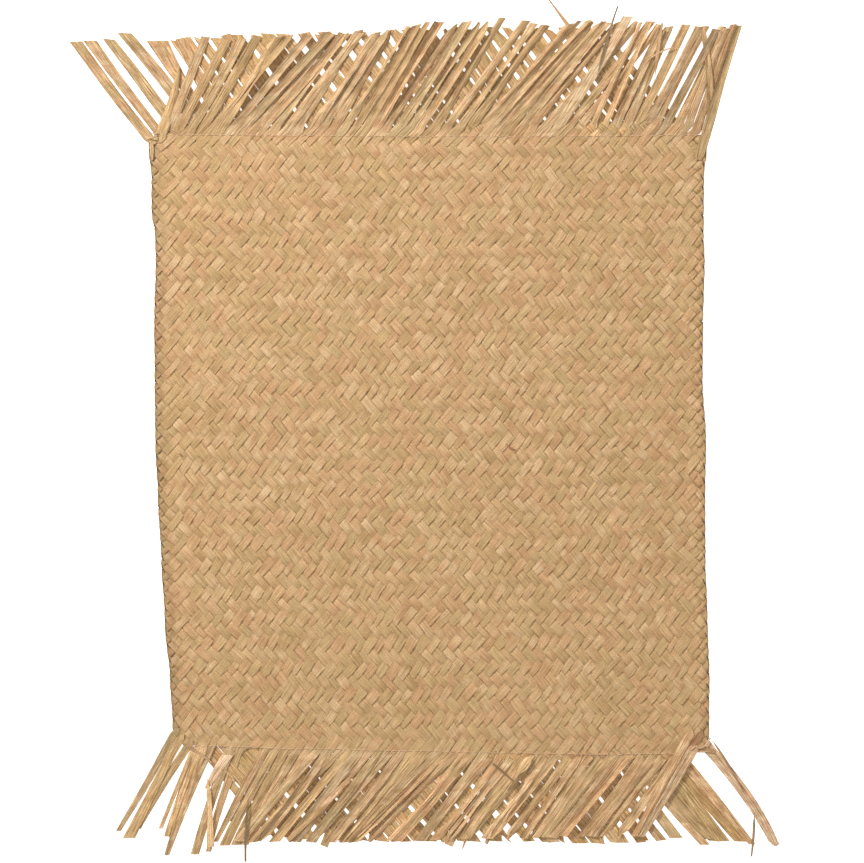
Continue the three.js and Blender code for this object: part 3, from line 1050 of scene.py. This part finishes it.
def multiply(tree, first, second, factor=1.0):
    """The first colour times the second, as far as the factor says."""
    node = add_node(tree, "ShaderNodeMix", data_type="RGBA", blend_type="MULTIPLY")
    set_inputs(tree, [node.inputs[k] for k in (0, 6, 7)], (factor, first, second))
    return node.outputs[2]


LEAF_SHADES = (
    (0.00, (0.585, 0.375, 0.175)),
    (0.16, (0.545, 0.368, 0.175)),
    (0.32, (0.640, 0.405, 0.205)),
    (0.48, (0.575, 0.335, 0.165)),
    (0.64, (0.660, 0.440, 0.235)),
    (0.82, (0.520, 0.325, 0.150)),
    (1.00, (0.610, 0.395, 0.190)),
)
TONES = ((0.25, (0.91, 0.895, 0.85)), (0.75, (1.085, 1.105, 1.15)))
SPECKS = ((0.3, (0.84, 0.83, 0.81)), (0.7, (1.14, 1.15, 1.17)))

# By the distance from a crease: painted shade in it, and a painted highlight beside it
CREASE_SHADE_STOPS = (
    (0.0, (0.55, 0.48, 0.38)), (0.07, (0.68, 0.62, 0.53)), (0.13, (1.0, 1.0, 1.0)),
    (0.2, (1.12, 1.13, 1.15)), (0.3, (1.0, 1.0, 1.0)),
)

# By the place from one edge of a strip to the other: painted shade in the slits beside a fold, and
# painted shade on a strip's side faces as thin dark rims
SLIT_SHADE_STOPS = (
    (0.0, (0.22, 0.15, 0.09)), (0.11, (0.5, 0.43, 0.34)), (0.22, (1, 1, 1)),
    (0.82, (1, 1, 1)), (0.91, (0.6, 0.53, 0.44)), (1.0, (0.26, 0.19, 0.12)),
)
RIM_SHADE_STOPS = (
    (0.0, (0.5, 0.46, 0.42)), (0.02, (1, 1, 1)), (0.98, (1, 1, 1)), (1.0, (0.5, 0.46, 0.42)),
)


def scaled(tree, value, factor, offset=0.0):
    product = math_node(tree, "MULTIPLY", value, factor)
    return math_node(tree, "ADD", product, offset) if offset else product


def contrast(low, high, strength):
    """A ramp's stops from darker to lighter, a little stronger in green and blue."""
    changes = (strength, 1.1 * strength, 1.25 * strength)
    return (low, tuple(1 - c for c in changes)), (high, tuple(1 + c for c in changes))


def finish_material(tree, inputs):
    """The shader, with its inputs set or linked by name, joined to the material's output."""
    shader = add_node(tree, "ShaderNodeBsdfPrincipled")
    set_inputs(tree, [shader.inputs[name] for name in inputs], inputs.values())
    output = tree.nodes.new("ShaderNodeOutputMaterial")
    tree.links.new(shader.outputs[0], output.inputs[0])


def leaf_material(name, edge_shade, streaks, fibres, crease_shading):
    """Dry leaf: a shade for each strip, slow changes along it, and fine grain lengthwise."""
    material, tree = new_material(name)
    leaf = add_node(tree, "ShaderNodeAttribute", attribute_name="leaf")
    parts = tree.nodes.new("ShaderNodeSeparateXYZ")
    tree.links.new(leaf.outputs["Vector"], parts.inputs[0])
    across, along, shade = parts.outputs
    tint = add_node(tree, "ShaderNodeAttribute", attribute_name="tint")
    folded = add_node(tree, "ShaderNodeAttribute", attribute_name="folded")
    place = tree.nodes.new("ShaderNodeTexCoord").outputs["Object"]
    own = scaled(tree, shade, 57.0)
    from_edge = scaled(tree, across, 0.5, 0.5)

    def strip_noise(pace, layer, detail, roughness=0.5, spread=0.0):
        """Noise that runs along a strip at a pace, and across it too where it has a spread."""
        first = math_node(tree, "ADD", scaled(tree, across, spread), own) if spread else own
        return noise(tree, vector_of(tree, first, scaled(tree, along, pace), layer),
                     1.0, detail, roughness)

    # The shade wanders from strip to strip, along each strip, and over the whole mat
    slow = strip_noise(0.07, 0.0, 2.0)
    patch = noise(tree, place, 28.0, 1.0)
    index = math_node(tree, "ADD", shade, scaled(tree, slow, 1.3, -0.65))
    index = math_node(tree, "ADD", index, scaled(tree, patch, 0.7, -0.35))
    colour = ramp(tree, math_node(tree, "FRACT", index), LEAF_SHADES)

    # Lighter and darker lengths, then streaks and fibres along the strip
    colour = multiply(tree, colour, ramp(tree, strip_noise(0.11, 3.0, 1.0), TONES))
    streak = strip_noise(0.035, own, 2.0, 0.6, spread=2.1)
    colour = multiply(tree, colour, ramp(tree, streak, contrast(0.28, 0.72, streaks)))
    fibre = strip_noise(0.08, 7.0, 1.5, 0.6, spread=4.6)
    colour = multiply(tree, colour, ramp(tree, fibre, contrast(0.32, 0.68, fibres)))

    # Painted shade in a sharp crease along some lengths of the strip, with a painted highlight
    # beside it
    crease_place = scaled(tree, math_node(tree, "SINE", own), 0.6)
    crease = math_node(tree, "ABSOLUTE", math_node(tree, "SUBTRACT", across, crease_place))
    runs = ramp(tree, strip_noise(0.06, 17.0, 0.0), ((0.46, (0, 0, 0)), (0.56, (crease_shading,) * 3)))
    colour = multiply(tree, colour, ramp(tree, crease, CREASE_SHADE_STOPS), runs)

    # Painted shade in the slits beside a strip where it folds at the side, where the strip beneath
    # lies in shadow
    colour = multiply(tree, colour, ramp(tree, from_edge, SLIT_SHADE_STOPS), folded.outputs["Fac"])

    # Darker along some lengths towards the edge that lies in the next strip's shade
    edge = ramp(tree, from_edge, (
        (0.0, (0.95, 0.94, 0.93)), (0.08, (1, 1, 1)), (0.88, (1, 1, 1)),
        (0.97, (edge_shade, edge_shade * 0.93, edge_shade * 0.85)),
    ))
    shaded = ramp(tree, strip_noise(0.17, 11.0, 1.0), ((0.40, (0, 0, 0)), (0.58, (1, 1, 1))))
    colour = multiply(tree, colour, edge, shaded)

    # Painted shade on each strip's side faces as thin dark rims, then specks, and the strip's own
    # tint
    colour = multiply(tree, colour, ramp(tree, from_edge, RIM_SHADE_STOPS))
    colour = multiply(tree, colour, ramp(tree, noise(tree, place, 1500.0, 1.0), SPECKS))
    colour = multiply(tree, colour, tint.outputs["Vector"])

    bump = add_node(tree, "ShaderNodeBump", Strength=0.5, Distance=0.0003)
    relief = math_node(tree, "ADD", streak, scaled(tree, fibre, 0.5))
    tree.links.new(relief, bump.inputs["Height"])
    finish_material(tree, {
        "Base Color": colour,
        "Roughness": scaled(tree, streak, 0.2, 0.55),
        "Specular IOR Level": 0.25,
        "Normal": bump.outputs["Normal"],
    })
    return material


def thread_material():
    """Matt sewing thread with lighter and darker lengths."""
    material, tree = new_material("thread")
    place = tree.nodes.new("ShaderNodeTexCoord").outputs["Object"]
    spots = noise(tree, place, 160.0, 2.0)
    colour = ramp(tree, spots, ((0.35, (0.66, 0.42, 0.25)), (0.6, (0.86, 0.60, 0.39))))
    finish_material(tree, {"Base Color": colour, "Roughness": 0.85})
    return material


def floor_material():
    material, tree = new_material("floor_white")
    finish_material(tree, {
        "Base Color": (0.92, 0.92, 0.92),
        "Roughness": 0.9,
        "Emission Color": (1.0, 1.0, 1.0),
        "Emission Strength": 0.75,
    })
    return material


# The pieces

leaf_plait = leaf_material("leaf_plait", edge_shade=0.52, streaks=0.09, fibres=0.16, crease_shading=0.4)
leaf_fringe = leaf_material("leaf_fringe", edge_shade=0.7, streaks=0.13, fibres=0.36, crease_shading=0.9)

rising = [plait_strip(n, False) for n in STRIPS]
falling = [plait_strip(n, True) for n in STRIPS]
plait_right = make_piece("plait_right", rising, leaf_plait)
plait_left = make_piece("plait_left", falling, leaf_plait)
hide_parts("mat")

for fringe in FRINGES:
    piece = make_piece(
        fringe["node"] + "_strands", fringe_strips(fringe), leaf_fringe)
    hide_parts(fringe["node"])

stray_strips = [stray_strip(number, row) for number, row in enumerate(STRAYS)]
stray_leaf = make_piece("stray_leaf", stray_strips, leaf_fringe)

sewn = stitches("top", 1) + stitches("bottom", -1)
sewn += [thread_piece(route, LOOSE_THREAD_RADIUS) for route in LOOSE_THREADS]
thread = make_piece("stitching", sewn, thread_material(), rounded=True)

# The stage

# Metres from the middle to the floor's sides
FLOOR = 2.0
floor_mesh = bpy.data.meshes.new("floor")
floor_mesh.from_pydata(
    [(-FLOOR, -FLOOR, 0), (FLOOR, -FLOOR, 0), (FLOOR, FLOOR, 0), (-FLOOR, FLOOR, 0)],
    [], [(0, 1, 2, 3)],
)
floor = add_object("floor", floor_mesh)
floor.data.materials.append(floor_material())


def area_light(name, place, size, power):
    """A round light that faces the middle of the mat. Metres and watts."""
    light = bpy.data.lights.new(name, "AREA")
    light.shape = "DISK"
    light.size = size
    light.energy = power
    holder = add_object(name, light)
    holder.location = place
    holder.rotation_euler = (-Vector(place)).to_track_quat("-Z", "Y").to_euler()


area_light("key", place=(-1.15, 1.25, 1.15), size=0.5, power=39)
area_light("fill", place=(0.3, -0.3, 2.4), size=2.0, power=19)

world = bpy.data.worlds.new("studio")
world.use_nodes = True
background = world.node_tree.nodes["Background"]
background.inputs["Color"].default_value = (1, 1, 1, 1)
background.inputs["Strength"].default_value = 0.25
scene.world = world

# The camera looks straight down. The photograph is 864 x 863 pixels, and each is this wide.
PIXEL = 0.589 * MM
PHOTO_WIDTH = 864
PHOTO_MIDDLE = (1.18 * MM, 7.36 * MM)
LENS = 100.0
SENSOR = 36.0
camera_data = bpy.data.cameras.new("camera")
camera_data.lens = LENS
camera_data.sensor_width = SENSOR
camera_data.sensor_fit = "HORIZONTAL"
camera = add_object("camera", camera_data)
distance = PHOTO_WIDTH * PIXEL * LENS / SENSOR
camera.location = (*PHOTO_MIDDLE, distance)
camera_data.clip_end = 20
scene.camera = camera
scene.view_settings.view_transform = "Standard"
